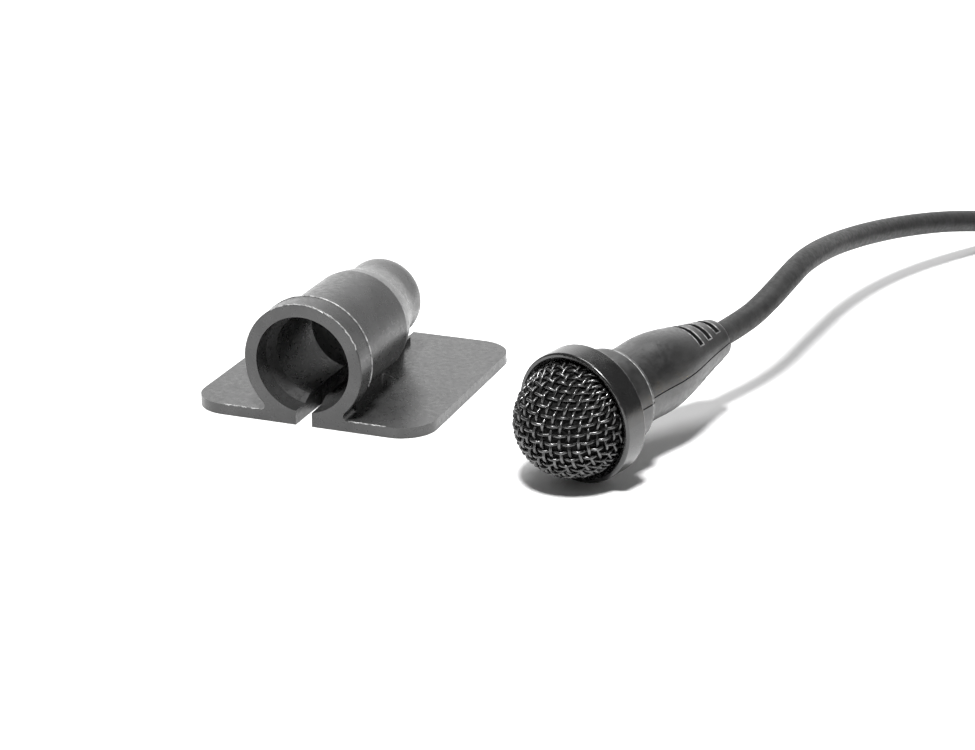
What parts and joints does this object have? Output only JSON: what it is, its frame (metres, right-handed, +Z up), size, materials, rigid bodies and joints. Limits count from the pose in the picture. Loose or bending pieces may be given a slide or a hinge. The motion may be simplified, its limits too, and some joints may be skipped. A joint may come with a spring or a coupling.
{
  "type": "lavalier microphone",
  "caption": "Clip-on size microphone with a domed woven grille, split tapered body and a coiled lead ending in a locking plug, with its separate flat-plate tubular holder.",
  "frame": {"origin": "middle of the footprint of the microphone and its holder, at the level they rest on; the lead is left out", "axes": "+Z up; +Y from the grille towards the tail; +X from the holder towards the microphone"},
  "size_m": [0.0796, 0.1226, 0.0121],
  "materials": {
    "collar_black": "satin black",
    "wire_mesh": "dark woven wire",
    "foam_black": "open-cell foam",
    "body_plastic": "fine matt texture",
    "holder_plastic": "fine matt texture",
    "soft_rubber": "matt",
    "cable_jacket": "matt",
    "capsule_aluminium": "drawn",
    "felt": "felt",
    "contact_brass": "plain",
    "film": "metallised film",
    "insulator": "moulded",
    "chip_black": "moulded",
    "board_green": "solder mask",
    "solder": "bright",
    "wire_red": "insulated",
    "wire_copper": "bare copper",
    "tie_fabric": "hook-and-loop tape",
    "plug_black": "satin black",
    "plug_nickel": "nickel plated",
    "plug_gold": "gold plated"
  },
  "bodies": {
    "microphone": {"upper_shell": "body_plastic", "lower_shell": "body_plastic", "capsule_gasket": "soft_rubber", "capsule_can": "capsule_aluminium", "dust_felt": "felt", "diaphragm_ring": "contact_brass", "diaphragm": "film", "diaphragm_spacer": "insulator", "backplate": "contact_brass", "backplate_cup": "insulator", "contact_ring": "contact_brass", "fet": "chip_black", "capsule_board": "board_green", "solder_joints": "solder", "signal_wire": "wire_red", "ground_wire": "wire_copper", "cable_crimp": "contact_brass", "cable_root": "cable_jacket", "cable": "cable_jacket", "cable_coil": "cable_jacket", "cable_tail": "cable_jacket", "coil_tie": "tie_fabric", "plug_boot": "soft_rubber", "plug_shell": "plug_black", "plug_sleeve": "plug_gold", "plug_insulators": "insulator", "plug_ring": "plug_gold", "plug_tip": "plug_gold"},
    "grille_cap": {"grille_collar": "collar_black", "grille_mesh": "wire_mesh", "windscreen_foam": "foam_black"},
    "holder": {"holder": "holder_plastic"},
    "plug_nut": {"plug_lock_ring": "plug_nickel"}
  },
  "joints": [
    {"name": "grille_pull", "type": "slide", "parent": "microphone", "child": "grille_cap", "axis": [0, -0.9965, -0.0833], "range_m": [0, 0.008]},
    {"name": "holder_slide", "type": "slide", "parent": "microphone", "child": "holder", "axis": [-0.3469, 0.9379, 0], "range_m": [0, 0.03]},
    {"name": "plug_nut_spin", "type": "hinge", "parent": "microphone", "child": "plug_nut", "pos_m": [0.0495, 0.02439, 0.0044], "axis": [0, 1, 0], "continuous": true}
  ]
}
